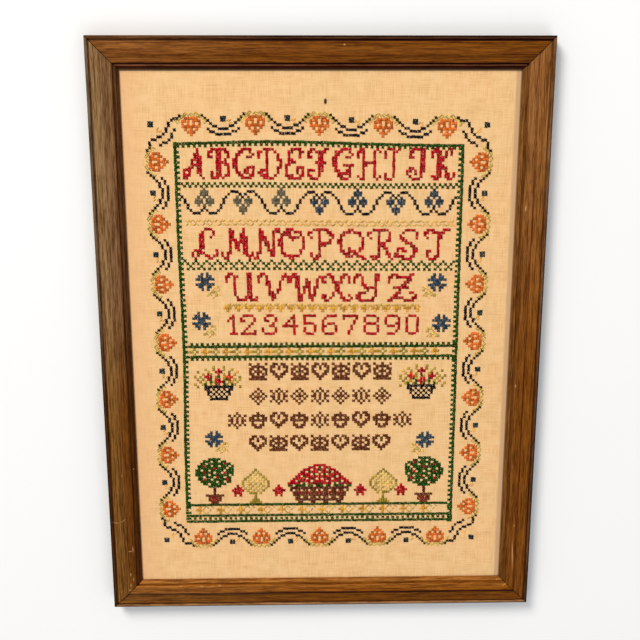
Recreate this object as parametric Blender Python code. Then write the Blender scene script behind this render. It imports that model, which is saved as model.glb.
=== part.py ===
"""A cross stitch sampler in a mitred wooden frame, lying on its back with its face up.

Metres, +X to the picture's right, +Y to its top, +Z out of its face. The origin is the middle of the
back plane. Run it with blender --background --python part.py, or from Blender's text editor.
"""

import math

import bmesh
import bpy

# Overall size of the frame, and the moulding that it is cut from
FRAME_WIDTH = 0.4255
FRAME_HEIGHT = 0.566
FRAME_DEPTH = 0.019
MOULDING_WIDTH = 0.0294
FIT_GAP = 0.0003

# The rebate behind the sight edge, which holds the cloth and its board
REBATE_WIDTH = 0.0065
REBATE_DEPTH = 0.0128

# Outer bead and quirk, measured from the outer edge inwards
OUTER_BEAD_RADIUS = 0.0017
OUTER_BEAD_BASE = 0.0153
OUTER_QUIRK_WIDTH = 0.0015
QUIRK_FLOOR = 0.0156

# Outer face, and the step up to the crest of the inner face
STEP_FROM_EDGE = 0.0154
STEP_HEIGHT = 0.0011
OUTER_FACE_FALL = 0.0009
CREST_RADIUS = 0.0004

# Inner face: a shallow cove that falls to the inner quirk
COVE_END = 0.0241
COVE_FALL = 0.0020
COVE_HOLLOW = 0.0003
INNER_QUIRK_WIDTH = 0.0012

# Inner bead and the sight edge
INNER_BEAD_RADIUS = 0.0014
INNER_BEAD_BASE = 0.0150
INNER_BEAD_ARC = (155, 10)
LIP_HEIGHT = 0.0148
LIP_RADIUS = 0.0008
ARC_STEPS = 6

# Cloth: one linen sheet on a plain board
CLOTH_THICKNESS = 0.0015
BOARD_THICKNESS = 0.0030
FINE_PITCH = 0.0055
COARSE_PITCH = 0.0240
CREASED_MARGIN = 0.0700
SLACK_HEIGHT = 0.00025
SLACK_LENGTH = 0.110
EDGE_FADE = 0.012

# The soft creases at the lower right margin
CREASE_COLUMNS = ("x", "y", "angle", "length", "half_width", "height")
CREASES = (
    (0.1640, -0.2040, 12, 0.026, 0.0045, 0.00060),
    (0.1485, -0.2270, 30, 0.012, 0.0040, 0.00035),
    (0.1500, -0.2405, 7, 0.024, 0.0040, 0.00055),
    (0.1660, -0.2460, -6, 0.015, 0.0035, 0.00040),
    (0.1715, -0.2320, 90, 0.030, 0.0035, 0.00045),
)


def clear_scene():
    for thing in list(bpy.data.objects):
        bpy.data.objects.remove(thing, do_unlink=True)


def make_material(name, colour, roughness):
    material = bpy.data.materials.new(name)
    material.use_nodes = True
    shader = material.node_tree.nodes["Principled BSDF"]
    shader.inputs["Base Color"].default_value = (*colour, 1.0)
    shader.inputs["Roughness"].default_value = roughness
    shader.inputs["Metallic"].default_value = 0.0
    material.diffuse_color = (*colour, 1.0)
    return material


def add_object(name, bm, material):
    bmesh.ops.recalc_face_normals(bm, faces=bm.faces)
    mesh = bpy.data.meshes.new(name)
    bm.to_mesh(mesh)
    bm.free()
    mesh.materials.append(material)
    mesh.shade_smooth()
    mesh.set_sharp_from_angle(angle=math.radians(30))
    piece = bpy.data.objects.new(name, mesh)
    bpy.context.scene.collection.objects.link(piece)
    return piece


def arc(centre, radius, start, end):
    """Points from one angle to another, in degrees, both ends included."""
    for step in range(ARC_STEPS + 1):
        angle = math.radians(start + (end - start) * step / ARC_STEPS)
        yield centre[0] + radius * math.cos(angle), centre[1] + radius * math.sin(angle)


def cove(start, end):
    """The inner face: a straight fall with a shallow hollow in the middle."""
    for step in range(1, ARC_STEPS):
        share = step / ARC_STEPS
        across = start[0] + (end[0] - start[0]) * share
        height = start[1] + (end[1] - start[1]) * share
        yield across, height - COVE_HOLLOW * math.sin(math.pi * share)


def moulding_profile():
    """The rail's section as points (from the outer edge, above the back), up the outside and over."""
    bead_centre = (OUTER_BEAD_RADIUS, OUTER_BEAD_BASE)
    face_start = 2 * OUTER_BEAD_RADIUS + OUTER_QUIRK_WIDTH
    face_top = FRAME_DEPTH - STEP_HEIGHT
    crest = (STEP_FROM_EDGE + CREST_RADIUS, FRAME_DEPTH - CREST_RADIUS)
    cove_end = (COVE_END, FRAME_DEPTH - COVE_FALL)
    inner_bead_start = COVE_END + INNER_QUIRK_WIDTH
    inner_bead_centre = (inner_bead_start + INNER_BEAD_RADIUS, INNER_BEAD_BASE)
    lip_centre = (MOULDING_WIDTH - LIP_RADIUS, LIP_HEIGHT - LIP_RADIUS)
    rebate_edge = MOULDING_WIDTH - REBATE_WIDTH

    points = [(0.0, 0.0)]
    points += arc(bead_centre, OUTER_BEAD_RADIUS, 180, 0)
    points += [(face_start, QUIRK_FLOOR), (face_start, face_top - OUTER_FACE_FALL)]
    points += [(STEP_FROM_EDGE, face_top)]
    points += arc(crest, CREST_RADIUS, 180, 80)
    points += cove(points[-1], cove_end)
    points += [cove_end, (COVE_END, QUIRK_FLOOR), (inner_bead_start, QUIRK_FLOOR)]
    points += arc(inner_bead_centre, INNER_BEAD_RADIUS, *INNER_BEAD_ARC)
    points += arc(lip_centre, LIP_RADIUS, 90, 0)
    points += [(MOULDING_WIDTH, REBATE_DEPTH), (rebate_edge, REBATE_DEPTH), (rebate_edge, 0.0)]
    return points


def make_rail(name, length, location, turn, material):
    """One length of moulding with its outer edge along local X, mitred at both ends."""
    setback = FIT_GAP / 2 * math.sqrt(2)
    profile = moulding_profile()
    bm = bmesh.new()
    rings = []
    for side in (-1, 1):
        ring = [bm.verts.new((side * (length / 2 - u - setback), -u, z)) for u, z in profile]
        rings.append(ring)
    caps = [bm.faces.new(ring) for ring in rings]
    count = len(profile)
    for index in range(count):
        after = (index + 1) % count
        bm.faces.new((rings[0][index], rings[0][after], rings[1][after], rings[1][index]))
    bmesh.ops.triangulate(bm, faces=caps)
    rail = add_object(name, bm, material)
    rail.location = location
    rail.rotation_euler = (0.0, 0.0, math.radians(turn))
    return rail


def steps_between(start, end, pitch):
    """Even steps of about this pitch, without the last one."""
    count = max(1, round(abs(end - start) / pitch))
    return [start + (end - start) * index / count for index in range(count)]


def smooth_step(value):
    value = min(1.0, max(0.0, value))
    return value * value * (3.0 - 2.0 * value)


def crease_height(x, y):
    """How far the creases lift the cloth at this place."""
    total = 0.0
    for row in CREASES:
        crease = dict(zip(CREASE_COLUMNS, row))
        turn = math.radians(crease["angle"])
        dx, dy = x - crease["x"], y - crease["y"]
        along = dx * math.cos(turn) + dy * math.sin(turn)
        across = dy * math.cos(turn) - dx * math.sin(turn)
        shape = math.exp(-((across / crease["half_width"]) ** 2))
        shape *= math.exp(-((along / (crease["length"] / 2)) ** 2))
        total += crease["height"] * shape
    return total


def cloth_lift(x, y):
    """Height of the cloth over its flat level: none under the sight edge."""
    sight_x = FRAME_WIDTH / 2 - MOULDING_WIDTH
    sight_y = FRAME_HEIGHT / 2 - MOULDING_WIDTH
    inside = min(sight_x - abs(x), sight_y - abs(y))
    slack = SLACK_HEIGHT * (0.5 + 0.25 * math.sin(2 * math.pi * (x + 0.4 * y) / SLACK_LENGTH)
                            + 0.25 * math.sin(2 * math.pi * (y - 0.3 * x) / SLACK_LENGTH))
    return (crease_height(x, y) + slack) * smooth_step(inside / EDGE_FADE)


def sheet_size():
    """Width and height that fit the rebate with the gap all round."""
    inset = MOULDING_WIDTH - REBATE_WIDTH + FIT_GAP
    return FRAME_WIDTH - 2 * inset, FRAME_HEIGHT - 2 * inset


def make_cloth(material):
    """One sheet with a fine grid where it is creased, lifted from the board there."""
    width, height = sheet_size()
    right, top = width / 2, height / 2
    columns = steps_between(-right, right - CREASED_MARGIN, COARSE_PITCH)
    columns += steps_between(right - CREASED_MARGIN, right, FINE_PITCH) + [right]
    rows = steps_between(-top, CREASED_MARGIN - top, FINE_PITCH)
    rows += steps_between(CREASED_MARGIN - top, top, COARSE_PITCH) + [top]
    level = REBATE_DEPTH - FIT_GAP

    bm = bmesh.new()
    grid = [[bm.verts.new((x, y, level + cloth_lift(x, y))) for x in columns] for y in rows]
    for row, row_above in zip(grid, grid[1:]):
        for index in range(len(columns) - 1):
            bm.faces.new((row[index], row[index + 1], row_above[index + 1], row_above[index]))
    lower = bmesh.ops.extrude_face_region(bm, geom=list(bm.faces))
    lower_verts = [item for item in lower["geom"] if isinstance(item, bmesh.types.BMVert)]
    bmesh.ops.translate(bm, verts=lower_verts, vec=(0.0, 0.0, -CLOTH_THICKNESS))
    return add_object("linen", bm, material)


def make_board(material):
    """The plain board behind the cloth."""
    width, height = sheet_size()
    front = REBATE_DEPTH - 2 * FIT_GAP - CLOTH_THICKNESS
    bm = bmesh.new()
    bmesh.ops.create_cube(bm, size=1.0)
    bmesh.ops.scale(bm, verts=bm.verts, vec=(width, height, BOARD_THICKNESS))
    board = add_object("backing_board", bm, material)
    board.location = (0.0, 0.0, front - BOARD_THICKNESS / 2)
    return board


def make_frame(material):
    half_width, half_height = FRAME_WIDTH / 2, FRAME_HEIGHT / 2
    make_rail("rail_top", FRAME_WIDTH, (0.0, half_height, 0.0), 0, material)
    make_rail("rail_bottom", FRAME_WIDTH, (0.0, -half_height, 0.0), 180, material)
    make_rail("rail_left", FRAME_HEIGHT, (-half_width, 0.0, 0.0), 90, material)
    make_rail("rail_right", FRAME_HEIGHT, (half_width, 0.0, 0.0), -90, material)


clear_scene()
make_frame(make_material("stained_wood", (0.190, 0.070, 0.018), 0.42))
make_cloth(make_material("linen", (0.850, 0.560, 0.290), 0.90))
make_board(make_material("board", (0.230, 0.150, 0.080), 0.85))
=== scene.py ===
import math
import random

import bpy
from mathutils import Matrix, Vector


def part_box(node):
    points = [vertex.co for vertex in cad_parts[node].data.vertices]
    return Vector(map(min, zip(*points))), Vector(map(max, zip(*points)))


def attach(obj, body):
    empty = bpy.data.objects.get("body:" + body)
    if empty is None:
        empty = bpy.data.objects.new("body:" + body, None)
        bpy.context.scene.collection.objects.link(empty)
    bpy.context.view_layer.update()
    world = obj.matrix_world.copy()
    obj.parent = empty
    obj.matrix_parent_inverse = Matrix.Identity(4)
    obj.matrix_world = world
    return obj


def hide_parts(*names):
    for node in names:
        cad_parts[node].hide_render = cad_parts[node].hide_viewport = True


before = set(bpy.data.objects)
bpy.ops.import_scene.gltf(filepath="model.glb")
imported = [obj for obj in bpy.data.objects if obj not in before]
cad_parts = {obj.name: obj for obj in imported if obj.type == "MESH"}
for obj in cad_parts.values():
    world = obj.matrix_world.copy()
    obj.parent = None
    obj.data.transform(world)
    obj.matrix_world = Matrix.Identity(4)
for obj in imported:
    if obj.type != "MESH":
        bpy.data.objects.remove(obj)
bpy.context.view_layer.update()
print("frame loaded:", len(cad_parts), "nodes")

mm = 0.001

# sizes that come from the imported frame
railLow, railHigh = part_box("rail_left")
topLow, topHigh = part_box("rail_top")
clothLow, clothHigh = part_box("linen")
outerHalf = (-railLow.x, topHigh.y)
sightHalf = (-railHigh.x, topLow.y)
clothSize = (clothHigh.x - clothLow.x, clothHigh.y - clothLow.y)


class Port:
    # a node's output socket; arithmetic on it adds Math nodes
    def __init__(self, tree, socket):
        self.tree = tree
        self.socket = socket

    def math(self, operation, *values):
        return self.tree.node("Math", {"operation": operation}, dict(enumerate(values)))

    def __add__(self, other):
        return self.math("ADD", self, other)

    def __radd__(self, other):
        return self.math("ADD", other, self)

    def __sub__(self, other):
        return self.math("SUBTRACT", self, other)

    def __rsub__(self, other):
        return self.math("SUBTRACT", other, self)

    def __mul__(self, other):
        return self.math("MULTIPLY", self, other)

    def __rmul__(self, other):
        return self.math("MULTIPLY", other, self)

    def __truediv__(self, other):
        return self.math("DIVIDE", self, other)

    def __rtruediv__(self, other):
        return self.math("DIVIDE", other, self)

    def __abs__(self):
        return self.math("ABSOLUTE", self)

    def sine(self):
        return self.math("SINE", self)

    def atMost(self, other):
        return self.math("MINIMUM", self, other)

    def step(self, low, high, start=0.0, end=1.0):
        # a soft step from start to end between low and high
        values = {"Value": self, "From Min": low, "From Max": high, "To Min": start, "To Max": end}
        return self.tree.node("MapRange", {"interpolation_type": "SMOOTHSTEP"}, values)

    def bump(self, middle, halfWidth):
        # 1 at the middle, falling softly to 0 at half width on both sides
        return abs(self - middle).step(0.0, halfWidth, 1.0, 0.0)


class Shading:
    # the node tree of one material
    def __init__(self, name):
        self.material = bpy.data.materials.new(name)
        self.material.use_nodes = True
        self.tree = self.material.node_tree
        self.shader = self.tree.nodes["Principled BSDF"]

    def plug(self, socket, value):
        if isinstance(value, Port):
            self.tree.links.new(value.socket, socket)
        elif hasattr(value, "__len__") and len(value) == 3 and len(socket.default_value) == 4:
            socket.default_value = (*value, 1.0)
        else:
            socket.default_value = value

    def node(self, kind, settings=None, values=None, output=0):
        made = self.tree.nodes.new("ShaderNode" + kind)
        for name, value in (settings or {}).items():
            if name == "stops":
                self.setStops(made, value)
            else:
                setattr(made, name, value)
        for name, value in (values or {}).items():
            self.plug(made.inputs[name], value)
        return Port(self, made.outputs[output])

    def setStops(self, ramp, stops):
        elements = ramp.color_ramp.elements
        while len(elements) > 1:
            elements.remove(elements[-1])
        for index, (place, colour) in enumerate(stops):
            element = elements[0] if index == 0 else elements.new(place)
            element.position = place
            element.color = (*colour, 1.0)

    def objectPlace(self):
        return self.node("TexCoord", output="Object")

    def parts(self, vector):
        split = self.tree.nodes.new("ShaderNodeSeparateXYZ")
        self.tree.links.new(vector.socket, split.inputs[0])
        return [Port(self, output) for output in split.outputs]

    def vector(self, x, y, z):
        return self.node("CombineXYZ", values={0: x, 1: y, 2: z})

    def noise(self, place, scale, detail=2.0, roughness=0.5):
        values = {"Vector": place, "Scale": scale, "Detail": detail, "Roughness": roughness}
        return self.node("TexNoise", values=values)

    def spot(self, x, y, middle, half):
        # 1 at a place given in millimetres, falling to 0 around it
        return x.bump(middle[0] * mm, half[0] * mm) * y.bump(middle[1] * mm, half[1] * mm)

    def mix(self, share, first, second, blend="MIX"):
        values = {0: share, 6: first, 7: second}
        return self.node("Mix", {"data_type": "RGBA", "blend_type": blend}, values, 2)

    def finish(self, colour, roughness, height=None, depth=1.0, **fixed):
        self.plug(self.shader.inputs["Base Color"], colour)
        self.plug(self.shader.inputs["Roughness"], roughness)
        for name, value in fixed.items():
            self.plug(self.shader.inputs[name.replace("_", " ")], value)
        if height is not None:
            values = {"Strength": 1.0, "Distance": depth, "Height": height}
            self.plug(self.shader.inputs["Normal"], self.node("Bump", values=values))
        return self.material


def deselectAll():
    if bpy.context.object and bpy.context.object.mode != "OBJECT":
        bpy.ops.object.mode_set(mode="OBJECT")
    bpy.ops.object.select_all(action="DESELECT")


def useAlone(piece):
    deselectAll()
    piece.select_set(True)
    bpy.context.view_layer.objects.active = piece


def bakePlace(piece):
    useAlone(piece)
    bpy.ops.object.transform_apply(location=True, rotation=True, scale=True)


def addModifier(piece, kind, **settings):
    # adds a modifier and applies it at once
    useAlone(piece)
    modifier = piece.modifiers.new(kind.lower(), kind)
    for name, value in settings.items():
        setattr(modifier, name, value)
    bpy.ops.object.modifier_apply(modifier=modifier.name)


def dress(piece, material):
    piece.data.materials.clear()
    piece.data.materials.append(material)
    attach(piece, "root")


# camera, floor and lights

photoView = {
    "lens": 56.25,
    "place": (-0.0222, 0.2515, 0.9472),
    "turns": {"X": -13.962, "Y": -1.240, "Z": -0.313},
}

studio = {
    "floorSize": 8.0,
    "worldColour": (0.95, 0.965, 0.99),
    "worldStrength": 0.50,
    "keyPlace": (-2.00, 3.38, 3.15),
    "keySize": 2.0,
    "keyPower": 202.0,
    "keyColour": (1.0, 0.96, 0.90),
    "fillPlace": (1.6, -2.4, 3.2),
    "fillSize": 2.5,
    "fillPower": 22.0,
    "fillColour": (0.93, 0.96, 1.0),
}


def addCamera():
    data = bpy.data.cameras.new("photoCamera")
    data.lens = photoView["lens"]
    data.clip_start = 0.01
    camera = bpy.data.objects.new("photoCamera", data)
    bpy.context.scene.collection.objects.link(camera)
    turn = Matrix.Identity(4)
    for axis, angle in photoView["turns"].items():
        turn = turn @ Matrix.Rotation(math.radians(angle), 4, axis)
    camera.matrix_world = Matrix.Translation(photoView["place"]) @ turn
    bpy.context.scene.camera = camera


def addSoftbox(name, place, size, power, colour):
    data = bpy.data.lights.new(name, "AREA")
    data.shape = "DISK"
    data.size = size
    data.energy = power
    data.color = colour
    light = bpy.data.objects.new(name, data)
    bpy.context.scene.collection.objects.link(light)
    light.location = place
    light.rotation_euler = Vector(place).to_track_quat("Z", "Y").to_euler()


def addStudio():
    world = bpy.data.worlds.new("studio")
    world.use_nodes = True
    background = world.node_tree.nodes["Background"]
    background.inputs["Color"].default_value = (*studio["worldColour"], 1.0)
    background.inputs["Strength"].default_value = studio["worldStrength"]
    bpy.context.scene.world = world
    bpy.context.scene.view_settings.view_transform = "Standard"
    for name in ("key", "fill"):
        values = [studio[name + part] for part in ("Place", "Size", "Power", "Colour")]
        addSoftbox(name + "Light", *values)

    deselectAll()
    bpy.ops.mesh.primitive_plane_add(size=studio["floorSize"])
    floor = bpy.context.object
    floor.name = "floor"
    paper = Shading("floorPaper")
    fleck = paper.noise(paper.objectPlace(), 6.0)
    tone = paper.mix(fleck, (0.94, 0.94, 0.94), (0.96, 0.96, 0.96))
    floor.data.materials.append(paper.finish(tone, 0.9))


addCamera()
addStudio()
print("camera and studio ready")


# the linen

cloth = {
    "cell": 3.0 * mm,
    "thick": 1.5 * mm,
    "slackHeight": 0.25 * mm,
    "slackLength": 110 * mm,
    "edgeFade": 12 * mm,
    "threadsPerCross": 4,
    "peach": (0.84, 0.470, 0.190),
    "tan": (0.80, 0.500, 0.205),
    "darkMottle": (0.700, 0.390, 0.150),
    "lightMottle": (0.910, 0.590, 0.290),
    "slub": (0.92, 0.58, 0.27),
    "holes": (0.55, 0.33, 0.15),
    "rightEdgeBand": (0.54, 0.32, 0.165),
    "leftWarmShade": (0.83, 0.45, 0.210),
    "topShade": (0.110, 0.050, 0.016),
    "leftShade": (0.200, 0.100, 0.035),
    "rightShade": (0.200, 0.085, 0.025),
    # middle, half size and colour
    "darkMark": ((3.6, 225.0), (2.0, 3.6), (0.030, 0.012, 0.005)),
    "thickPlace": ((39.4, -235.5), (1.3, 0.9), (1.0, 0.74, 0.42)),
    # x, y, angle, length, half width, height in millimetres
    "creases": (
        (164.0, -204.0, 12, 26.0, 4.5, 0.60),
        (148.5, -227.0, 30, 12.0, 4.0, 0.35),
        (150.0, -240.5, 7, 24.0, 4.0, 0.55),
        (166.0, -246.0, -6, 15.0, 3.5, 0.40),
        (171.5, -232.0, 90, 30.0, 3.5, 0.45),
    ),
}

chart = {
    "columns": 104,
    "rows": 150,
    "pitch": (2.56 * mm, 2.52 * mm),
    "middle": (-1.9 * mm, -2.25 * mm),
    "jitter": 0.23 * mm,
    "turnJitter": 10.0,
    "sizeJitter": 0.13,
    # how far the worked cloth is pulled out of true, in cells, and where
    "leftLift": 0.60,
    "topBow": 0.80,
    "bowColumn": 34,
    "bowSpread": 24,
    "rightDrop": 0.78,
    "leftDrop": 0.45,
    "leftBulge": 0.80,
    "bulgeRow": 78,
    "bulgeSpread": 32,
    "bottomLift": 1.60,
    "lowestRows": 100,
}


def smoothStep(value):
    value = min(1.0, max(0.0, value))
    return value * value * (3.0 - 2.0 * value)


def creaseHeight(x, y):
    total = 0.0
    for middleX, middleY, angle, length, halfWidth, height in cloth["creases"]:
        turn = math.radians(angle)
        dx, dy = x / mm - middleX, y / mm - middleY
        along = dx * math.cos(turn) + dy * math.sin(turn)
        across = dy * math.cos(turn) - dx * math.sin(turn)
        total += height * mm * math.exp(-((across / halfWidth) ** 2) - (2 * along / length) ** 2)
    return total


def clothLift(x, y):
    inside = min(sightHalf[0] - abs(x), sightHalf[1] - abs(y))
    wave = 2 * math.pi / cloth["slackLength"]
    slack = 0.5 + 0.25 * math.sin(wave * (x + 0.4 * y)) + 0.25 * math.sin(wave * (y - 0.3 * x))
    return (creaseHeight(x, y) + cloth["slackHeight"] * slack) * smoothStep(inside / cloth["edgeFade"])


clothFace = clothLow.z + cloth["thick"]


def linenMaterial():
    linen = Shading("evenLinen")
    place = linen.objectPlace()
    x, y, z = linen.parts(place)
    threadPitch = chart["pitch"][0] / cloth["threadsPerCross"]
    turns = 2 * math.pi / threadPitch
    # the threads of the weave, each a little thick and thin along its length
    warpSlub = linen.noise(linen.vector(x * 1500.0, y * 45.0, 0.0), 1.0, 2.0, 0.6)
    weftSlub = linen.noise(linen.vector(x * 45.0, y * 1500.0, 7.0), 1.0, 2.0, 0.6)
    warp = (x * turns).sine() * 0.5 + 0.5
    weft = (y * turns).sine() * 0.5 + 0.5
    weave = warp * 0.5 + weft * 0.5
    slubs = warpSlub * 0.5 + weftSlub * 0.5
    blotch = linen.noise(place, 22.0, 3.0, 0.55)
    mottle = linen.noise(place, 95.0, 3.0, 0.6)
    colour = linen.mix(blotch.step(0.35, 0.65), cloth["peach"], cloth["tan"])
    colour = linen.mix(mottle.step(0.36, 0.50, 0.46, 0.0), colour, cloth["darkMottle"])
    colour = linen.mix(mottle.step(0.50, 0.66, 0.0, 0.62), colour, cloth["lightMottle"])
    colour = linen.mix(slubs.step(0.44, 0.58), colour, cloth["slub"])
    colour = linen.mix(weave.step(0.0, 0.45, 0.25, 0.0), colour, cloth["holes"])
    # the cloth is darker in a soft band along the right edge, and near the left edge the colour holds a
    # painted warm shade
    fromRight = sightHalf[0] - x
    rightEdgeBand = fromRight.step(4.0 * mm, 6.5 * mm, 0.75, 0.0)
    colour = linen.mix(rightEdgeBand, colour, cloth["rightEdgeBand"])
    fromLeft = x + sightHalf[0]
    colour = linen.mix(fromLeft.step(0.0, 30.0 * mm, 0.60, 0.0), colour, cloth["leftWarmShade"])
    # painted shadow of the rails along the sight edge, where the cloth goes under it
    fromTop = sightHalf[1] - y
    colour = linen.mix(fromTop.step(0.9 * mm, 2.1 * mm, 0.88, 0.0), colour, cloth["topShade"])
    colour = linen.mix(fromLeft.step(0.1 * mm, 1.5 * mm, 0.75, 0.0), colour, cloth["leftShade"])
    colour = linen.mix(fromRight.step(0.6 * mm, 1.4 * mm, 0.85, 0.0), colour, cloth["rightShade"])
    # a small dark mark near the top and a thick place in one thread near the bottom
    middle, half, shade = cloth["darkMark"]
    colour = linen.mix((linen.spot(x, y, middle, half) * 2.2).atMost(1.0), colour, shade)
    middle, half, shade = cloth["thickPlace"]
    colour = linen.mix(linen.spot(x, y, middle, half) * 0.6, colour, shade)
    height = weave * 0.6 + slubs * 0.8
    return linen.finish(colour, 0.86, height, 0.12 * mm, Sheen_Weight=0.15)


def makeCloth():
    deselectAll()
    cells = [round(size / cloth["cell"]) for size in clothSize]
    bpy.ops.mesh.primitive_grid_add(x_subdivisions=cells[0], y_subdivisions=cells[1], size=1.0)
    sheet = bpy.context.object
    sheet.name = "linenSheet"
    sheet.scale = (clothSize[0], clothSize[1], 1.0)
    bakePlace(sheet)
    for vertex in sheet.data.vertices:
        vertex.co.z = clothFace + clothLift(vertex.co.x, vertex.co.y)
    addModifier(sheet, "SOLIDIFY", thickness=cloth["thick"], offset=-1.0)
    sheet.data.shade_smooth()
    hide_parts("linen")
    dress(sheet, linenMaterial())
    return sheet


clothSheet = makeCloth()
print("cloth made:", len(clothSheet.data.polygons), "faces")


# the chart: a dictionary from (column, row) to a thread's letter, row 0 at the top

# one letter for each thread, and its colour as seen on the cloth
threadColours = {
    "r": ("red", (0.460, 0.001, 0.011)),
    "c": ("coral", (0.740, 0.046, 0.012)),
    "g": ("green", (0.008, 0.064, 0.003)),
    "n": ("navy", (0.005, 0.005, 0.011)),
    "b": ("blue", (0.026, 0.058, 0.094)),
    "t": ("dusk", (0.012, 0.030, 0.038)),
    "s": ("slate", (0.135, 0.122, 0.080)),
    "o": ("orange", (0.720, 0.150, 0.018)),
    "y": ("gold", (0.820, 0.380, 0.040)),
    "l": ("olive", (0.420, 0.300, 0.030)),
    "p": ("straw", (0.760, 0.520, 0.110)),
    "k": ("brown", (0.150, 0.034, 0.012)),
    "m": ("maroon", (0.120, 0.015, 0.010)),
}

crosses = {}
legs = {}


def cross(column, row, letter):
    crosses[(column, row)] = letter


def leg(column, row, letter, lean):
    # one half of a cross, leaning like a slash or a backslash
    legs[(column, row)] = (letter, lean)


def stamp(rows, column, row, mirrored=False):
    # a small chart, its top left cell at this column and row
    for down, line in enumerate(rows):
        line = line[::-1] if mirrored else line
        for across, letter in enumerate(line):
            if letter in threadColours:
                cross(column + across, row + down, letter)


def line(letter, columnStart, columnEnd, row, step=1):
    for column in range(columnStart, columnEnd + 1, step):
        cross(column, row, letter)


lastColumn = chart["columns"]
lastRow = chart["rows"]


def chartGreenFrame():
    for column in range(lastColumn + 1):
        cross(column, 0, "g")
        cross(column, lastRow, "g")
        if column % 2 == 1:
            cross(column, 1, "g")
            cross(column, lastRow - 1, "g")
    for row in range(lastRow + 1):
        cross(0, row, "g")
        cross(lastColumn, row, "g")
        if row % 2 == 1:
            cross(1, row, "g")
            cross(lastColumn - 1, row, "g")


berry = (
    ".ooooo.",
    "ooo.ooo",
    "o.o.o.o",
    "ooooooo",
    ".o.o.o.",
    "..ooo..",
    "...o...",
)
berryTop = 9
# across and outwards from the berry's middle
berryCapLegs = ((0, 10), (1, 10), (2, 10), (3, 10), (0.5, 10.5), (1.5, 10.7), (2.5, 10.5), (3.5, 10.2),
                (3, 9.3), (4, 9.5), (4, 8.7), (4.6, 9), (5, 8.3), (4.4, 8), (5.6, 8.6), (5, 7.4))
outerWave = (10, 9, 8, 7, 6, 6, 5, 5, 5, 5, 6, 6, 7, 8, 9, 10)
innerWave = (5, 4, 4, 3, 3, 3, 3, 3, 3, 4, 4, 5)
berryStep = 23
berryFirst = 6


def chartBud(place, along, out):
    # a small round flower of four crosses
    for across in (0, 1):
        for up in (0, 1):
            cross(*place(along + across, out + up), "t")


def chartBorderSide(place, length):
    # place turns (along, outwards) into (column, row)
    for middle in range(berryFirst, length, berryStep):
        for down, text in enumerate(berry):
            for across, letter in enumerate(text):
                if letter == "o":
                    cross(*place(middle + across - 3, berryTop - down), "o")
        for side in (-1, 1):
            for index, (across, out) in enumerate(berryCapLegs):
                lean = side if index % 2 else -side
                leg(*place(middle + side * across, out), "lpl"[index % 3], lean)
        if middle + berryStep > length:
            continue
        start = middle + 4
        for index, out in enumerate(outerWave):
            cross(*place(start + index, out), "n")
        for index, out in enumerate(innerWave):
            cross(*place(start + 2 + index, out), "n")
        chartBud(place, start + 7, 8)
        for across, out in ((9, 8), (10, 7), (10, 8)):
            leg(*place(start + across, out), "y", 1)


cornerOuter = ((2, -10), (1, -9), (0, -9), (-1, -9), (-2, -8), (-2, -7), (-3, -6), (-3, -5), (-4, -4),
               (-5, -3), (-6, -3), (-7, -2), (-8, -2), (-9, -1), (-9, 0), (-9, 1), (-10, 2))
cornerInner = ((0, -5), (-1, -4), (-1, -3), (-2, -2), (-3, -1), (-4, -1), (-5, 0))


def chartBorder():
    chartBorderSide(lambda along, out: (along, -out), lastColumn)
    chartBorderSide(lambda along, out: (along, lastRow + out), lastColumn)
    chartBorderSide(lambda along, out: (-out, along), lastRow)
    chartBorderSide(lambda along, out: (lastColumn + out, along), lastRow)
    for right in (False, True):
        for low in (False, True):
            def place(column, row):
                return (lastColumn - column if right else column, lastRow - row if low else row)
            for column, row in cornerOuter + cornerInner:
                cross(*place(column, row), "n")
            chartBud(place, -9, -8)
            for column, row in ((-6, -6), (-6, -5), (-5, -5)):
                leg(*place(column, row), "y", 1)


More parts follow.
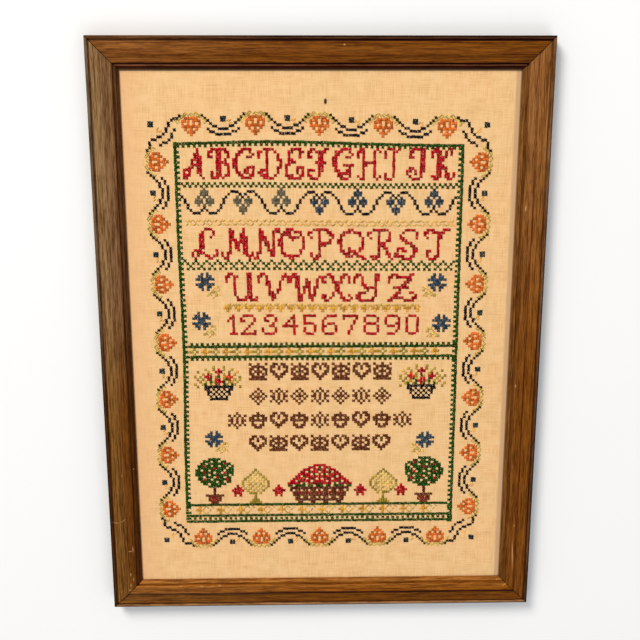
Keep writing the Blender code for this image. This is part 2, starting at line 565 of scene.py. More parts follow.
# strokes of the capitals, each point a column and a row; a star marks a broad stroke
capitals = {
    "A": "5.5,0 4,3.5 2.6,7 1.6,10 0.4,10.8 -0.2,9.4 0.6,8 2,7.8|*5.5,0 5.8,5.5 6.2,9.5|6.2,9.6 "
         "7.2,10.9|3,6.4 6,6.4",
    "B": "*3.6,0.4 3.6,10.2|0.6,3 0.4,1.2 2.2,0.2 5,0 7,1 7.2,3 5.8,4.6 3.8,5|3.8,5 6.4,5.6 7.8,7.4 "
         "7.2,9.8 5,10.9|3.6,10.4 2.2,10.9 0.8,10.2 0.8,8.8",
    "C": "5.2,2.6 6.4,3.2 7.2,1.8 5.8,0.2 3.6,0.2|*3.6,0.2 1.4,2 0.6,5.5 1.4,9 3.6,10.8|3.6,10.8 "
         "5.6,10.9 7.4,9.6 7.6,7.8 6.4,6.8 5,7.4 4.8,8.8",
    "D": "*3.2,0.6 3.2,10|0.4,3.2 0.2,1.6 1.8,0.4 4,0 6.6,1 8,3.6 8,7 6.6,9.8 4.4,10.9 2.4,10.6 "
         "0.8,9.8 0.6,8.4 1.8,8.2",
    "E": "6.8,2.6 6.8,0.8 5,0 2.8,0.6 2,2.4 2.8,4.2 4.6,4.8|*4.2,4.8 1.8,5.6 0.8,8 2,10.2 4,10.9|"
         "4,10.9 6.4,10.6 7.6,8.6 6.8,6.9 5.4,7.2 5.2,8.6",
    "F": "0.6,3.2 0.2,1.4 1.8,0.3 4,0.8 6,0.6 8,0.2|*5,0.8 4.8,5 4.8,8.4|4.8,8.4 4,10.4 2,10.9 "
         "0.4,9.8 0.6,8 2,7.6|3.2,5.2 6.6,5",
    "G": "5.2,2.6 6.4,3.2 7.2,1.8 5.8,0.2 3.6,0.2|*3.6,0.2 1.2,2 0.6,5 1.4,8 3.4,9.4|3.4,9.2 5,9 "
         "6.2,7.4|*6.6,5.8 6.6,8.6|4.6,5.8 8,5.6|6.6,8.6 5.8,10.6 3.6,10.9 2,10.2",
    "H": "0.4,3 0.2,1.2 1.4,0.4 2.4,1.4|*2.4,0.6 2.4,10|2.4,10 1.2,10.9 0,10|2.4,5.6 6.6,5.2|*6.6,0.8 "
         "6.6,9.6|6.6,1 7.4,0 8.4,0.8|6.6,9.6 7.4,10.8 8.4,10",
    "I": "1,3 0.8,1 2.6,0.2 5,0.6 6.6,0.2|*4.4,0.6 4.4,8.6|4.4,8.6 3.6,10.6 1.6,10.8 0.6,9.4 1.6,8.4",
    "J": "1.6,3.2 1.4,1 3.4,0.2 5.6,0.2 7,0.6|*5.8,0.6 5.8,8.4|5.8,8.4 4.8,10.6 2.6,10.9 0.6,9.6 "
         "0.8,7.6 2.4,7.2 3,8.6",
    "K": "0.4,3 0.2,1.2 1.4,0.3 2.4,1.2|*2.6,0.6 2.6,10|2.6,10 1.4,10.9 0.2,9.8|7.8,2 7.6,0.4 6,0.4 "
         "4.6,3.4 2.8,5.4|*3,5.2 5,7.4 6,9.8|6,9.8 7.4,10.9 8.6,9.8 8,8.4",
    "L": "6.4,3 7,1.2 5.6,0 3.6,0.8|*3.4,0.8 3,4 3,7 2,9.4|2.6,9.4 0.8,10.9 -0.2,9.6 1,8.4 3.4,9.4 "
         "5.6,10.8 7.6,10.2 8,8.4",
    "M": "0.2,9 0.6,10.7 2,10.2 2.6,6 3,0.6|*3,0.6 4,4 5,7.6|5,7.6 6,4 7.2,0.4|*7.2,0.4 7.4,5 7.6,9|"
         "7.6,9 8.6,10.8 9.4,9.8",
    "N": "0.2,9 0.6,10.7 2,10.2 2.6,6 2.8,0.6|*2.8,0.6 4.6,5 6.6,10|6.6,10 7,5 7.4,1.4 8.6,0.2 9.2,1.4",
    "O": "*3.8,0.2 1.2,2 0.6,5.5 1.4,9 3.8,10.8|3.8,10.8 6.8,9.6 7.8,5.5 7,1.6 3.8,0.2|3.8,0.4 3,2.4 "
         "4.4,3.6 5.8,2.8",
    "P": "0.6,3.2 0.4,1.2 2.2,0.2 5,0 7.2,1.2 7.6,3.4 6,5.4 3.8,5.6|*3.6,0.4 3.6,9.8|3.6,9.8 2.4,10.9 "
         "0.8,10.4 0.6,9",
    "Q": "*3.8,0.2 1.2,2 0.6,5 1.4,8.4 3.8,10|3.8,10 6.8,8.6 7.8,5 7,1.6 3.8,0.2|3.4,7.6 5,8 6.6,10.2 "
         "8.6,10.8",
    "R": "0.6,3.2 0.4,1.2 2.2,0.2 5,0 7,1 7.2,3.2 5.6,4.8 3.8,5.2|*3.6,0.4 3.6,9.8|3.6,9.8 2.4,10.9 "
         "0.8,10.2|*4.2,5.2 6,7.4 6.8,9.8|6.8,9.8 8,10.9 9,9.6",
    "S": "6.8,3 7,1 5,0 2.8,0.6 2,2.4 3,4.4|*3,4.4 5.6,5.8 6.8,8|6.8,8 6,10.4 3.6,10.9 1.2,10 0.8,8 "
         "2.2,7.2 3.2,8.4",
    "T": "0.8,3.4 0.2,1.6 1.6,0.3 4,0.8 6,0.6 8,0.2|*4.8,0.8 4.6,5 4.6,8.6|4.6,8.6 3.8,10.6 1.8,10.9 "
         "0.6,9.6 1.4,8.2",
    "U": "0.2,3 0.2,1.2 1.6,0.3 2.6,1.4|*2.6,0.8 2.2,5 2.4,8.4|2.4,8.4 3.4,10.6 5.2,10.6 6.6,9|"
         "*6.8,0.4 6.6,5 6.8,9.2|6.8,9.2 7.6,10.8 8.8,10",
    "V": "0.2,3 0.2,1.2 1.6,0.3 2.6,1.6|*2.4,0.8 3,5.5 4.2,10.4|4.2,10.6 6,6 6.8,2.4 8,0.3 9,1.6 "
         "8.4,2.8",
    "W": "0,3 0.2,1.2 1.4,0.3 2.2,1.6|*2,0.8 2.2,6 2.8,10.4|2.8,10.4 4.2,6 4.8,2|*4.8,2 5.4,6 6.2,10.4"
         "|6.2,10.4 7.4,6 8,2.4 9,0.6 9.8,2",
    "X": "0.4,3.2 0.4,1.2 2,0.3 3.2,2|*2.8,1.2 4.2,5.4 6,9.6|6,9.6 7.2,10.9 8.4,9.8 8,8.4|8,3 8.2,1.2 "
         "6.8,0.3 5.4,2.4 3.4,7.6 2,10.4 0.6,10.4 0.4,8.8",
    "Y": "0.2,3 0.2,1.2 1.6,0.3 2.6,1.6|*2.4,0.8 2.6,4 4.2,6|4.2,6 6.2,5|*6.6,0.4 6.4,5 6.2,8.6|"
         "6.2,8.6 5.2,10.6 3,10.9 1.2,9.6 1.6,8 3,7.8",
    "Z": "0.8,3.4 0.6,1.4 2.2,0.4 4.6,1 7.6,0.4|*7.4,0.6 5.4,4 3.4,7.4 1.2,10.4|1.2,10.4 2.6,9.2 "
         "4.4,9.8 6,10.9 8,10 8.4,8.2 7.2,7.4|2.8,5.4 6.4,5.2",
}
capitalWidth = 9.0
capitalFoot = 11.0
finePen = 0.56
broadPen = 0.74
penSteps = 24


def curvePoint(points, index, share):
    # a Catmull-Rom curve through the points
    p0 = points[max(0, index - 1)]
    p1, p2 = points[index], points[index + 1]
    p3 = points[min(len(points) - 1, index + 2)]
    found = []
    for a, b, c, d in zip(p0, p1, p2, p3):
        square = 2 * a - 5 * b + 4 * c - d
        cube = 3 * (b - c) + d - a
        found.append(b + 0.5 * share * (c - a + share * (square + share * cube)))
    return found


def penStroke(points, broad, column, row, widen, heighten):
    # crosses each cell whose middle lies under a round pen
    pen = broadPen if broad else finePen
    for index in range(len(points) - 1):
        for step in range(penSteps + 1):
            x, y = curvePoint(points, index, step / penSteps)
            x, y = x * widen, y * heighten
            for across in range(math.floor(x), math.floor(x) + 2):
                for down in range(math.floor(y), math.floor(y) + 2):
                    if math.hypot(x - across, y - down) < pen:
                        cross(column + across, row + down, "r")


def chartCapital(letter, column, row, widen, heighten):
    for stroke in capitals[letter].split("|"):
        broad = stroke.startswith("*")
        points = [tuple(map(float, pair.split(","))) for pair in stroke.lstrip("*").split()]
        penStroke(points, broad, column, row, widen, heighten)


def chartCapitals(text, columnStart, columnEnd, row, height):
    step = (columnEnd - columnStart + 1.0) / len(text)
    widen = (step - 0.6) / capitalWidth
    for index, letter in enumerate(text):
        chartCapital(letter, round(columnStart + index * step), row, widen, (height - 1) / capitalFoot)


numerals = (
    ("..X.", ".XX.", "X.X.", "..X.", "..X.", "..X.", "..X.", ".XXX"),
    (".XXXX.", "X....X", "XX...X", "....X.", "...X..", "..X...", ".X...X", "XXXXXX"),
    ("..XXX.", ".X...X", ".XX..X", "....X.", "...XX.", "X....X", "X....X", ".XXXX."),
    ("....X.", "...XX.", "..X.X.", ".X..X.", "XXXXXX", "....X.", "....X.", "....X."),
    ("XXXXX", "X....", "X....", "XXXX.", "....X", "X...X", "X...X", ".XXX."),
    ("..XXXX", ".X....", "X.....", "X.XXX.", "XX...X", "X....X", "X....X", ".XXXX."),
    ("XXXXXX", "X....X", "....X.", "....X.", "...X..", "...X..", "..X...", "..X..."),
    (".XXXX.", "X....X", "X....X", ".XXXX.", "X....X", "X....X", "X....X", ".XXXX."),
    (".XXXX.", "X....X", "X....X", "X...XX", ".XXX.X", ".....X", "....X.", ".XXX.."),
    (".XXX.", "X...X", "X...X", "X...X", "X...X", "X...X", "X...X", ".XXX."),
)
numeralColumns = (17, 22, 30, 38, 46, 53, 61, 69, 77, 85)


def chartNumerals():
    for column, rows in zip(numeralColumns, numerals):
        stamp([text.replace("X", "r") for text in rows], column, 65)


def chartBands():
    for column in range(2, lastColumn - 1):
        cross(column, 15 + column % 2, "g")
    for column in range(3, lastColumn - 2):
        leg(column, 28.9, "pyl"[column % 3], 1 if column % 3 else -1)
        leg(column + 0.4, 30.2, "lpy"[column % 3], -1 if column % 3 else 1)
    for column in range(2, lastColumn - 1):
        if column % 4 == 2:
            cross(column, 44, "g")
        if column % 2 == 1:
            cross(column, 45, "g")
            cross(column, 47, "g")
        if column % 4 == 0:
            cross(column, 46, "g")
    for column in range(16, 90):
        leg(column, 60.8, "lpy"[column % 3], 1)
        leg(column + 0.5, 61.2, "yl"[column % 2], -1)
        if column % 4 != 3:
            cross(column, 62, "y")
        if column % 4 == 1:
            cross(column, 63, "y")
    line("g", 1, lastColumn - 1, 77)
    line("g", 1, lastColumn - 1, 81)
    line("g", 3, lastColumn - 1, 76, 2)
    line("g", 3, lastColumn - 1, 82, 2)
    for column in range(2, lastColumn - 6, 8):
        stamp(("..l...y.", "ll.l.yyy", "..l...y."), column, 78)
    line("g", 1, lastColumn - 1, 144)
    line("g", 1, lastColumn - 1, 148)
    for column in range(2, lastColumn - 6, 8):
        stamp(("...y....", "..yyy...", "...y...."), column, 145)
        for across, down, lean in ((5, 0, 1), (6, 0, -1), (7, 1, 1), (5, 2, -1), (6, 2, 1), (8, 0, -1)):
            leg(column + across, 145 + down, "l", lean)


vineRow = 18
vineHalf = ((0, 6), (1, 7), (2, 8), (3, 8), (4, 8), (5, 7), (6, 6), (6, 5), (7, 4), (7, 3), (8, 2), (9, 1),
            (10, 0), (11, 0), (12, 0), (13, 1), (14, 2))
trefoilUp = (
    "...X...",
    "..XXX..",
    "..XXX..",
    ".X.X.X.",
    "XXX.XXX",
    "XXX.XXX",
    ".X.X.X.",
)


def chartVine():
    for index, middle in enumerate(range(10, 95, 28)):
        for column, row in vineHalf:
            for side in (-1, 1):
                place = middle + side * column
                if 2 <= place <= lastColumn - 2:
                    cross(place, vineRow + row, "n")
        letter = "s" if index < 2 else "b"
        stamp([text.replace("X", letter) for text in trefoilUp], middle - 3, vineRow - 1)
        if index < 3:
            flipped = [text.replace("X", "s" if index < 1 else "b") for text in trefoilUp[::-1]]
            stamp(flipped, middle + 11, vineRow + 2)


blueFlower = ("..b.b..", ".bb.bb.", "bbbbbbb", "..bbb..", "bbbbbbb", ".bb.bb.", "..b.b..")
# the gold sprig beside it: crosses, and half crosses with their lean
sprig = ((4, 2), (5, 3), (3, 4), (1, 5), (4, 5))
sprigLegs = ((3, 3, 1), (5, 2, 1), (4, 4, -1), (2, 5, -1), (5, 5, -1), (3, 6, 1), (2, 4, 1))


def chartBlueFlowers():
    for column, row in ((9, 52), (7, 67), (96, 52), (98, 68), (11, 115), (93, 116)):
        stamp(blueFlower, column - 3, row - 3)
        side = 1 if column < 52 else -1
        for across, down in sprig:
            cross(column + side * across, row + down, "p")
        for across, down, lean in sprigLegs:
            leg(column + side * across, row + down, "ly"[across % 2], lean * side)


bouquet = (
    ".......l...l......",
    "....l..l.r.l..l...",
    ".l...l..rrr..l..y.",
    "...l.rl..r.l.c.l..",
    "l.l.rrr.lg.lccc..l",
    ".l.l.rg.rr.lgc.l.l",
    "..y.l.glrrrg.ly.l.",
    "l..lg.l.gr.gl.gl..",
    ".l..nnnnnnnnnnn..l",
    "....nn.n.n.n.nn...",
    ".....nn.n.n.nn....",
    ".....n.n.n.n.n....",
    "......n.n.n.n.....",
    "......nnnnnnn.....",
)


def chartBaskets():
    stamp(bouquet, 4, 85)
    stamp(bouquet, 83, 85, True)


# rows of old sampler motifs in brown
crown = ("k..k..k", ".kkkkk.", "kk.k.kk", "k.kkk.k", "kk.k.kk", ".kkkkk.", "kkkkkkk")
heart = (".kk.kk.", "kk.k.kk", "k..k..k", "kk...kk", ".kk.kk.", "..kkk..", "...k...")
star = ("...k...", "k.k.k.k", ".k.k.k.", "kk.k.kk", ".k.k.k.", "k.k.k.k", "...k...")
diamond = ("...k...", "..k.k..", ".k.k.k.", "k.kkk.k", ".k.k.k.", "..k.k..", "...k...")
acorn = ("...k...", ".kkkkk.", "kk.k.kk", "kkkkkkk", ".k...k.", ".kk.kk.", "..kkk..")


def chartMotifRow(shapes, columnStart, columnEnd, row):
    step = (columnEnd - columnStart - 6) // (len(shapes) - 1)
    for index, shape in enumerate(shapes):
        stamp(shape, columnStart + index * step, row)


def chartMotifRows():
    chartMotifRow([crown, heart] * 3 + [crown], 25, 79, 84)
    chartMotifRow([diamond, star] * 3 + [diamond], 25, 79, 94)
    chartMotifRow([star, acorn, heart, acorn] * 2 + [star], 17, 87, 104)
    chartMotifRow([heart, crown] * 3 + [heart], 25, 79, 114)


planter = (
    "...........rrrrr...........",
    ".........rrr.g.rrr.........",
    ".......rrr.rrgrr.rrr.......",
    "......rr.grrr.rrrg.rr......",
    ".....rrrrr.g.r.g.rrrrr.....",
    "....rr.grrrrrrrrrrrg.rr....",
    "...rrrrr.rgr.r.rgr.rrrrr...",
    "..rr.grrrr.rrrrr.rrrrg.rr..",
    ".rrrrr.g.rrrrgrrrr.g.rrrrr.",
    ".gg.gggg.gg.ggg.gg.gggg.gg.",
    "..mmmmmmmmmmmmmmmmmmmmmmm..",
    "..m.kk.kk.kk.m.kk.kk.kk.m..",
    "...kkrkkkrkkkrkkkrkkkrkk...",
    "...kkkkkkkkkkkkkkkkkkkkk...",
    "....kk.kk.kk.m.kk.kk.kk....",
    "....kkkkkkkkkkkkkkkkkkk....",
    ".....mm...mm...mm...mm.....",
)
roundTree = (
    ".....ggggg.....",
    "...ggg.gg.gg...",
    "..gg.ggggggrgg.",
    ".ggrgg.gg.ggg.g",
    ".ggggggrgggg.gg",
    "gg.gg.ggggg.ggg",
    "gggrggg.gg.rggg",
    "ggggg.ggggggg.g",
    ".gg.ggg.rgg.gg.",
    ".ggrgg.gggggrg.",
    "..gggggg.gg.gg.",
    "...gg.gggggg...",
    ".....ggggg.....",
    ".......m.......",
    ".......m.......",
    ".......m.......",
    "....kkkkkkk....",
    ".....kkrkk.....",
    ".....krkrk.....",
    "......kkk......",
)
bush = (
    ".....l.....",
    "....l.l....",
    "...l.p.l...",
    "..l.p.p.l..",
    ".l.p.p.p.l.",
    "l.p.p.p.p.l",
    "l.pp.p.pp.l",
    "l.p.p.p.p.l",
    ".l.p.p.p.l.",
    "..l.p.p.l..",
    "...lll.l...",
    ".....l.....",
    ".....l.....",
    "....lll....",
    "...lllll...",
)
posy = ("..r..", ".rrr.", "rrrrr", ".rrr.", ".r.r.")


def chartGarden():
    ground = 144
    stamp(planter, 39, ground - len(planter))
    stamp(roundTree, 4, ground - len(roundTree))
    stamp(roundTree, 86, ground - len(roundTree), True)
    stamp(bush, 22, ground - len(bush))
    stamp(bush, 72, ground - len(bush), True)
    for column in (18, 34, 66, 82):
        stamp(posy, column, ground - 8)


chartGreenFrame()
chartBorder()
chartCapitals("ABCDEFGHIJK", 3, 101, 2, 12)
chartVine()
chartCapitals("LMNOPQRST", 5, 101, 32, 11.8)
chartCapitals("UVWXYZ", 17, 88, 49, 11.2)
chartNumerals()
chartBands()
chartBlueFlowers()
chartBaskets()
chartMotifRows()
chartGarden()
print("chart worked out:", len(crosses), "crosses and", len(legs), "half crosses")


# the stitches: one cross and one leg are modelled, then placed by the chart

thread = {
    "width": 1.62 * mm,
    "thick": 0.60 * mm,
    "sides": 5,
    "reach": 1.14,
    "taper": 0.62,
    "cuts": 3,
    "sink": 0.20 * mm,
    "underRise": 0.22 * mm,
    "overRise": 0.58 * mm,
    "fineWidth": 0.95 * mm,
    # how much light reaches the lower, the upper and the single thread
    "underLay": 0.62,
    "overLay": 1.0,
    "fineLay": 0.9,
    "darkShare": 0.60,
    "lightShare": 1.30,
    "fibreShare": 1.6,
    "shadowShare": 0.16,
}


def makeLeg(name, width, turn, rise, level):
    # a flat thread that comes up at one corner of the cell, bows and goes down at the other
    pitchX, pitchY = chart["pitch"]
    length = math.hypot(pitchX, pitchY)
    deselectAll()
    lying = (0, math.pi / 2, 0)
    bpy.ops.mesh.primitive_cylinder_add(vertices=thread["sides"], radius=0.5, depth=1.0, rotation=lying)
    strand = bpy.context.object
    strand.name = name
    bpy.ops.object.transform_apply(location=False, rotation=True, scale=False)
    bpy.ops.object.mode_set(mode="EDIT")
    bpy.ops.mesh.select_mode(type="EDGE")
    bpy.ops.mesh.select_all(action="DESELECT")
    bpy.ops.object.mode_set(mode="OBJECT")
    for edge in strand.data.edges:
        a, b = [strand.data.vertices[index].co for index in edge.vertices]
        edge.select = abs(a.x - b.x) > 0.5
    bpy.ops.object.mode_set(mode="EDIT")
    bpy.ops.mesh.subdivide(number_cuts=thread["cuts"])
    bpy.ops.object.mode_set(mode="OBJECT")
    for vertex in strand.data.vertices:
        share = 2 * vertex.co.x
        taper = 1.0 - thread["taper"] * share ** 2
        bow = rise * (1 - share * share) - thread["sink"] * share ** 6
        vertex.co.x *= length * thread["reach"]
        vertex.co.y *= width * taper
        vertex.co.z = vertex.co.z * thread["thick"] * taper + bow
    strand.rotation_euler.z = turn * math.atan2(pitchY, pitchX)
    bakePlace(strand)
    strand.data.shade_smooth()
    # the light is less towards the ends
    lay = strand.data.attributes.new("lay", "FLOAT", "POINT")
    for vertex, spot in zip(strand.data.vertices, lay.data):
        share = 2 * math.hypot(vertex.co.x, vertex.co.y) / (length * thread["reach"])
        spot.value = level * (1 - 0.20 * share ** 3)
    return strand


def joinPieces(name, pieces):
    useAlone(pieces[0])
    for piece in pieces[1:]:
        piece.select_set(True)
    bpy.ops.object.join()
    pieces[0].name = name
    return pieces[0]


placingNodes = {
    "start": "NodeGroupInput",
    "end": "NodeGroupOutput",
    "model": "GeometryNodeObjectInfo",
    "place": "GeometryNodeInstanceOnPoints",
    "realize": "GeometryNodeRealizeInstances",
    "turn": "GeometryNodeInputNamedAttribute",
    "size": "GeometryNodeInputNamedAttribute",
}


def placeStitches(name, model, places, material):
    # points with their own turn, size and shade, and the model on each of them
    points = bpy.data.meshes.new(name)
    points.from_pydata([place for place, turn, size, shade in places], [], [])
    piece = bpy.data.objects.new(name, points)
    bpy.context.scene.collection.objects.link(piece)
    kinds = (("turn", "FLOAT_VECTOR", 1), ("size", "FLOAT_VECTOR", 2), ("shade", "FLOAT", 3))
    for label, kind, index in kinds:
        attribute = points.attributes.new(label, kind, "POINT")
        for spot, values in zip(attribute.data, places):
            if kind == "FLOAT":
                spot.value = values[index]
            else:
                spot.vector = values[index]
    group = bpy.data.node_groups.new(name, "GeometryNodeTree")
    group.interface.new_socket("Geometry", in_out="INPUT", socket_type="NodeSocketGeometry")
    group.interface.new_socket("Geometry", in_out="OUTPUT", socket_type="NodeSocketGeometry")
    made = {label: group.nodes.new(kind) for label, kind in placingNodes.items()}
    made["model"].inputs["Object"].default_value = model
    for label in ("turn", "size"):
        made[label].data_type = "FLOAT_VECTOR"
        made[label].inputs["Name"].default_value = label
    group.links.new(made["start"].outputs[0], made["place"].inputs["Points"])
    group.links.new(made["model"].outputs["Geometry"], made["place"].inputs["Instance"])
    group.links.new(made["turn"].outputs["Attribute"], made["place"].inputs["Rotation"])
    group.links.new(made["size"].outputs["Attribute"], made["place"].inputs["Scale"])
    group.links.new(made["place"].outputs[0], made["realize"].inputs[0])
    group.links.new(made["realize"].outputs[0], made["end"].inputs[0])
    addModifier(piece, "NODES", node_group=group)
    dress(piece, material)
    return piece


def threadMaterial(name, colour):
    cotton = Shading(name + "Cotton")
    shade = cotton.node("Attribute", {"attribute_name": "shade"}, output="Fac")
    lay = cotton.node("Attribute", {"attribute_name": "lay"}, output="Fac")
    place = cotton.objectPlace()
    fibres = cotton.noise(place, 3000.0, 2.0, 0.6)
    patch = cotton.noise(place, 60.0, 2.0, 0.5)
    dark = [value * thread["darkShare"] for value in colour]
    light = [min(1.0, value * thread["lightShare"] + 0.004) for value in colour]
    fibre = [min(1.0, value * thread["fibreShare"] + 0.010) for value in colour]
    shadow = [value * thread["shadowShare"] for value in colour]
    tone = cotton.mix((shade * 0.6 + patch * 0.4).step(0.2, 0.8), dark, light)
    tone = cotton.mix(fibres.step(0.5, 0.75, 0.0, 0.5), tone, fibre)
    tone = cotton.mix(lay.step(0.25, 0.95, 0.72, 0.0), tone, shadow)
    return cotton.finish(tone, 0.75, fibres, 0.10 * mm, Specular_IOR_Level=0.03)


def chartShift(column, row):
    # columns and rows by which a cross lies off its true place
    upper = 1 - smoothStep((row - 45) / 45)
    leftwards = 1 - smoothStep((column - 20) / 60)
    fromBulge = (row - chart["bulgeRow"]) / chart["bulgeSpread"]
    across = chart["leftBulge"] * leftwards * math.exp(-fromBulge ** 2)
    if column < 0:
        return across, chart["leftDrop"] * upper
    if column > lastColumn - 2 or row < 2:
        down = chart["rightDrop"] * upper * smoothStep((column - 50) / 55)
        fromBow = (column - chart["bowColumn"]) / chart["bowSpread"]
        return across, down - chart["topBow"] * math.exp(-fromBow ** 2) * upper
    if row > chart["lowestRows"]:
        lift = chart["bottomLift"] * smoothStep((row - chart["lowestRows"]) / 40)
        return across, -lift * (1 - smoothStep((row - 144) / 9.3))
    return across, -chart["leftLift"] * upper * leftwards * smoothStep(row / 12)


def cellPlace(column, row, draw):
    across, down = chartShift(column, row)
    x = chart["middle"][0] + (column + across - lastColumn / 2) * chart["pitch"][0]
    y = chart["middle"][1] + (lastRow / 2 - row - down) * chart["pitch"][1]
    x += draw.uniform(-1, 1) * chart["jitter"]
    y += draw.uniform(-1, 1) * chart["jitter"]
    return x, y, clothFace + clothLift(x, y)


def stitchPlaces(cells):
    draw = random.Random(len(cells))
    places = []
    for column, row in cells:
        place = cellPlace(column, row, draw)
        turn = (0.0, 0.0, math.radians(draw.uniform(-1, 1) * chart["turnJitter"]))
        size = [1 + draw.uniform(-1, 1) * chart["sizeJitter"] for axis in range(3)]
        places.append((place, turn, size, draw.random()))
    return places


def makeStitches():
    under = makeLeg("underLeg", thread["width"], 1, thread["underRise"], thread["underLay"])
    over = makeLeg("overLeg", thread["width"], -1, thread["overRise"], thread["overLay"])
    crossModel = joinPieces("crossModel", [under, over])
    legModels = {}
    for lean in (1, -1):
        fine = thread["fineWidth"], lean, thread["underRise"], thread["fineLay"]
        legModels[lean] = makeLeg("legModel", *fine)
    sewn = []
    for letter, (name, colour) in threadColours.items():
        cells = [cell for cell in sorted(crosses) if crosses[cell] == letter]
        material = threadMaterial(name, colour)
        if cells:
            sewn.append(placeStitches(name + "Crosses", crossModel, stitchPlaces(cells), material))
        for lean, side in ((1, "Right"), (-1, "Left")):
            # a cross takes the place of a half cross in the same cell
            cells = [cell for cell in sorted(legs) if legs[cell] == (letter, lean) and cell not in crosses]
            if cells:
                label = name + side + "Legs"
                sewn.append(placeStitches(label, legModels[lean], stitchPlaces(cells), material))
    for model in (crossModel, *legModels.values()):
        bpy.data.objects.remove(model)
    return sewn


stitches = makeStitches()
for piece in stitches:
    print(piece.name, sum(len(face.vertices) - 2 for face in piece.data.polygons), "triangles")


# the moulded rails

rails = {
    "bevel": 0.22 * mm,
    "bevelAngle": 28,
    # distance from the outer edge in millimetres, and the part of the moulding there
    "zones": (
        (0.0, "edge"), (1.1, "edge"), (1.7, "bead"), (2.5, "bead"), (3.4, "quirk"), (4.7, "quirk"),
        (5.3, "face"), (10.0, "face"), (13.9, "faceEnd"), (14.5, "foot"), (15.6, "foot"),
        (15.9, "ridge"), (16.5, "ridge"), (17.2, "cove"), (20.5, "cove"), (23.4, "coveEnd"),
        (24.1, "innerQuirk"), (25.2, "innerQuirk"), (25.7, "innerLine"), (26.2, "innerLine"),
        (26.6, "innerBead"), (28.0, "innerBead"), (28.5, "lip"), (29.4, "lip"),
    ),
    "width": 29.4,
    "waver": 0.6 * mm,
    # screen colours of the marks and of the mitres
    "marks": (("light", (205, 152, 96)), ("dark", (34, 12, 2))),
    "seamColour": (34, 12, 3),
    "dark": (0.48, 0.38, 0.21),
    "light": (1.50, 1.60, 1.80),
    "seam": (0.9 * mm, 0.85),
}

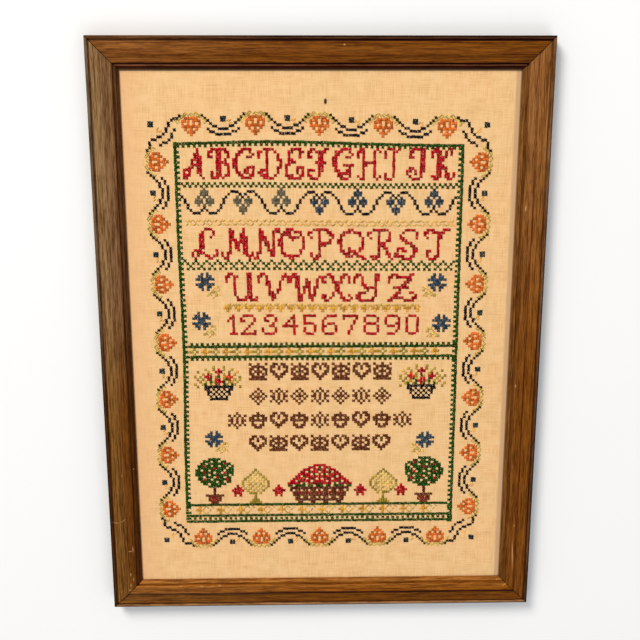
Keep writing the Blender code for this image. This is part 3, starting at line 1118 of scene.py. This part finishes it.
# colours as they look on a screen, from 0 to 255, with painted light and shade: each rail has its own lit
# or shaded copy of the zones (painted shadow on the top rail's inner bead and lip and on the bottom rail's
# ridge foot, painted shade on the left rail's inner side, painted light on the bottom rail's inner faces)
# and a painted sheen along part of the rail; a mark has its x, y, half length along the rail, half width,
# lean and strength
railWoodAndPaintedLight = {
    "rail_top": {
        "seed": 1.0, "edge": (22, 10, 5), "bead": (84, 48, 26), "quirk": (44, 8, 0),
        "face": (110, 60, 7),
        "faceEnd": (110, 60, 6), "foot": (108, 57, 6), "ridge": (116, 63, 12), "cove": (117, 64, 11),
        "coveEnd": (114, 61, 12), "innerQuirk": (42, 5, 0), "innerLine": (106, 62, 36),
        "innerBead": (48, 7, 0),
        "lip": (58, 27, 6), "paintedSheen": (148, 96, 50), "paintedSheenFrom": (-20.0, -205.0, 0.32),
        "light": ((20.5, 275.0, 1.3, 1.2, 0.0, 0.9),),
        "dark": (),
    },
    "rail_bottom": {
        "seed": 5.0, "edge": (70, 44, 28), "bead": (148, 106, 66), "quirk": (98, 46, 1),
        "face": (112, 61, 6),
        "faceEnd": (108, 60, 9), "foot": (36, 4, 0), "ridge": (70, 26, 0), "cove": (126, 71, 14),
        "coveEnd": (146, 88, 32), "innerQuirk": (134, 74, 14), "innerLine": (146, 86, 28),
        "innerBead": (152, 95, 38),
        "lip": (142, 86, 30), "paintedSheen": (140, 100, 55), "paintedSheenFrom": (40.0, -200.0, 0.22),
        "light": ((189.0, -261.0, 4.0, 1.2, 0.6, 0.8), (181.0, -256.5, 2.0, 0.9, 0.0, 0.8),
                  (-144.0, -259.6, 1.9, 0.8, 0.0, 0.75), (-122.5, -260.2, 2.4, 0.8, 0.0, 0.85),
                  (-111.5, -259.6, 1.6, 0.7, 0.0, 0.7), (-104.5, -259.4, 2.0, 0.8, 0.0, 0.8)),
        "dark": ((-120.0, -262.0, 9.0, 0.6, 0.0, 0.7), (60.0, -264.5, 14.0, 0.6, 0.0, 0.6)),
    },
    "rail_left": {
        "seed": 9.0, "edge": (8, 4, 2), "bead": (80, 42, 12), "quirk": (84, 46, 10),
        "face": (120, 79, 32),
        "faceEnd": (112, 71, 27), "foot": (110, 67, 22), "ridge": (118, 75, 30), "cove": (112, 63, 14),
        "coveEnd": (104, 58, 12), "innerQuirk": (80, 40, 2), "innerLine": (80, 40, 3),
        "innerBead": (74, 36, 0),
        "lip": (78, 40, 3), "paintedSheen": (148, 126, 96), "paintedSheenFrom": (-90.0, 80.0, 0.30),
        "light": ((-198.1, -138.0, 1.1, 1.1, 0.0, 0.8), (-186.5, -131.3, 1.0, 1.0, 0.0, 0.7),
                  (-190.8, -218.0, 4.6, 0.9, 0.0, 0.95), (-193.6, -219.8, 0.9, 2.6, 0.0, 0.9),
                  (-194.0, -245.5, 2.6, 1.0, 0.0, 0.85), (-191.6, -251.5, 3.4, 0.9, 0.0, 0.8),
                  (-194.4, -257.5, 3.0, 1.0, 0.0, 0.9), (-195.4, -262.5, 1.5, 1.6, 0.0, 0.85),
                  (-206.6, -188.6, 0.7, 5.0, -0.05, 0.8), (-199.0, -186.2, 0.8, 3.2, 0.8, 0.7)),
        "dark": ((-199.1, -196.0, 5.0, 0.9, 0.0, 0.9),),
    },
    "rail_right": {
        "seed": 13.0, "edge": (14, 8, 4), "bead": (86, 56, 34), "quirk": (82, 38, 6),
        "face": (116, 65, 12),
        "faceEnd": (116, 64, 12), "foot": (98, 48, 4), "ridge": (106, 55, 8), "cove": (112, 63, 15),
        "coveEnd": (110, 65, 19), "innerQuirk": (104, 57, 14), "innerLine": (98, 54, 12),
        "innerBead": (112, 70, 28),
        "lip": (110, 68, 26), "paintedSheen": (160, 112, 66), "paintedSheenFrom": (-60.0, 250.0, 0.32),
        "light": ((191.3, 126.8, 4.0, 1.0, 0.1, 0.9), (190.1, -47.4, 2.4, 0.9, 0.0, 0.8),
                  (195.0, -227.0, 22.0, 0.9, -0.045, 0.8), (195.5, -195.3, 1.1, 1.1, 0.0, 0.8)),
        "dark": ((196.3, 142.4, 1.0, 0.9, 0.0, 0.8),),
    },
}


def seen(colour):
    # a screen colour in the shader's own scale
    return tuple(((value / 255 + 0.055) / 1.055) ** 2.4 for value in colour)


def railMaterial(name, axis, tone):
    wood = Shading(name)
    place = wood.objectPlace()
    x, y, z = wood.parts(place)
    along, side = (x, y) if axis == "x" else (y, x)
    inwards = outerHalf[1 if axis == "x" else 0] - abs(side)
    seed = tone["seed"]
    # the zone colours carry each rail's painted light and shade
    stops = [(across / rails["width"], seen(tone[zone])) for across, zone in rails["zones"]]
    waver = wood.noise(wood.vector(along * 30.0, seed, 0.0), 1.0, 2.0, 0.5) - 0.5
    share = (inwards + waver * rails["waver"]) / (rails["width"] * mm)
    colour = wood.node("ValToRGB", {"stops": stops}, {0: share})
    # a painted sheen: a lighter wash on the outer faces that grows along the rail towards the upper left
    low, high, strength = tone["paintedSheenFrom"]
    paintedSheen = along.step(low * mm, high * mm, 0.0, strength) * inwards.step(22.0 * mm, 24.0 * mm, 1.0, 0.2)
    colour = wood.mix(paintedSheen, colour, seen(tone["paintedSheen"]))
    # streaks of the grain, each longer than it is wide
    figure = wood.noise(wood.vector(along * 14.0, side * 480.0, z * 240.0 + seed), 1.0, 3.0, 0.65)
    lines = wood.noise(wood.vector(along * 44.0, side * 1250.0, z * 500.0 + seed), 1.0, 2.0, 0.6)
    fibres = wood.noise(wood.vector(along * 150.0, side * 2600.0, z * 1300.0 + seed), 1.0, 2.0, 0.6)
    streak = figure * 0.32 + lines * 0.42 + fibres * 0.26
    grain = wood.mix(streak.step(0.40, 0.60), rails["dark"], rails["light"])
    colour = wood.mix(1.0, colour, grain, "MULTIPLY")
    # knocks and rubbed places, then the dark seam of the mitre
    for kind, shade in rails["marks"]:
        for markX, markY, halfAlong, halfSide, lean, amount in tone[kind]:
            markAlong, markSide = (markX, markY) if axis == "x" else (markY, markX)
            fromAlong = along - markAlong * mm
            fromSide = side - markSide * mm
            if halfSide > halfAlong:
                fromAlong = fromAlong - fromSide * lean
            else:
                fromSide = fromSide - fromAlong * lean
            mark = fromAlong.bump(0.0, halfAlong * mm) * fromSide.bump(0.0, halfSide * mm)
            colour = wood.mix(mark * amount, colour, seen(shade))
    seam = outerHalf[0 if axis == "x" else 1] - abs(along) - inwards
    seamHalf, seamShare = rails["seam"]
    colour = wood.mix(seam.bump(0.0, seamHalf) * seamShare, colour, seen(rails["seamColour"]))
    height = lines * -0.5 + fibres * 0.35
    rough = figure.step(0.3, 0.7, 0.52, 0.62)
    return wood.finish(colour, rough, height, 0.08 * mm, Specular_IOR_Level=0.05)


def makeRail(nodeName):
    # a copy of the rail with its doubles merged and its arrises eased
    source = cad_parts[nodeName]
    rail = bpy.data.objects.new(nodeName.split("_")[1] + "Moulding", source.data.copy())
    bpy.context.scene.collection.objects.link(rail)
    useAlone(rail)
    bpy.ops.object.mode_set(mode="EDIT")
    bpy.ops.mesh.select_all(action="SELECT")
    bpy.ops.mesh.remove_doubles(threshold=0.00001)
    bpy.ops.mesh.dissolve_limited(angle_limit=math.radians(0.5))
    bpy.ops.object.mode_set(mode="OBJECT")
    angle = math.radians(rails["bevelAngle"])
    addModifier(rail, "BEVEL", width=rails["bevel"], segments=2, limit_method="ANGLE", angle_limit=angle)
    useAlone(rail)
    bpy.ops.object.shade_smooth_by_angle(angle=math.radians(30))
    axis = "x" if nodeName in ("rail_top", "rail_bottom") else "y"
    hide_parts(nodeName)
    dress(rail, railMaterial(nodeName.split("_")[1] + "Wood", axis, railWoodAndPaintedLight[nodeName]))
    return rail


for nodeName in railWoodAndPaintedLight:
    makeRail(nodeName)
print("rails dressed")


# the backing board

backing = {
    "darkCloud": (0.180, 0.105, 0.050),
    "lightCloud": (0.205, 0.122, 0.060),
    "fibre": (0.330, 0.220, 0.125),
    "meshTurns": 2600.0,
}


def boardMaterial():
    hardboard = Shading("hardboard")
    place = hardboard.objectPlace()
    x, y, z = hardboard.parts(place)
    fibres = hardboard.noise(place, 900.0, 3.0, 0.65)
    clouds = hardboard.noise(place, 18.0, 3.0, 0.5)
    mesh = (x * backing["meshTurns"]).sine() * (y * backing["meshTurns"]).sine()
    colour = hardboard.mix(clouds.step(0.30, 0.70), backing["darkCloud"], backing["lightCloud"])
    colour = hardboard.mix(fibres.step(0.45, 0.75, 0.0, 0.45), colour, backing["fibre"])
    return hardboard.finish(colour, 0.88, fibres * 0.8 + mesh * 0.2, 0.25 * mm)


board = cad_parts["backing_board"]
board.data.materials.clear()
board.data.materials.append(boardMaterial())
print("board finished")
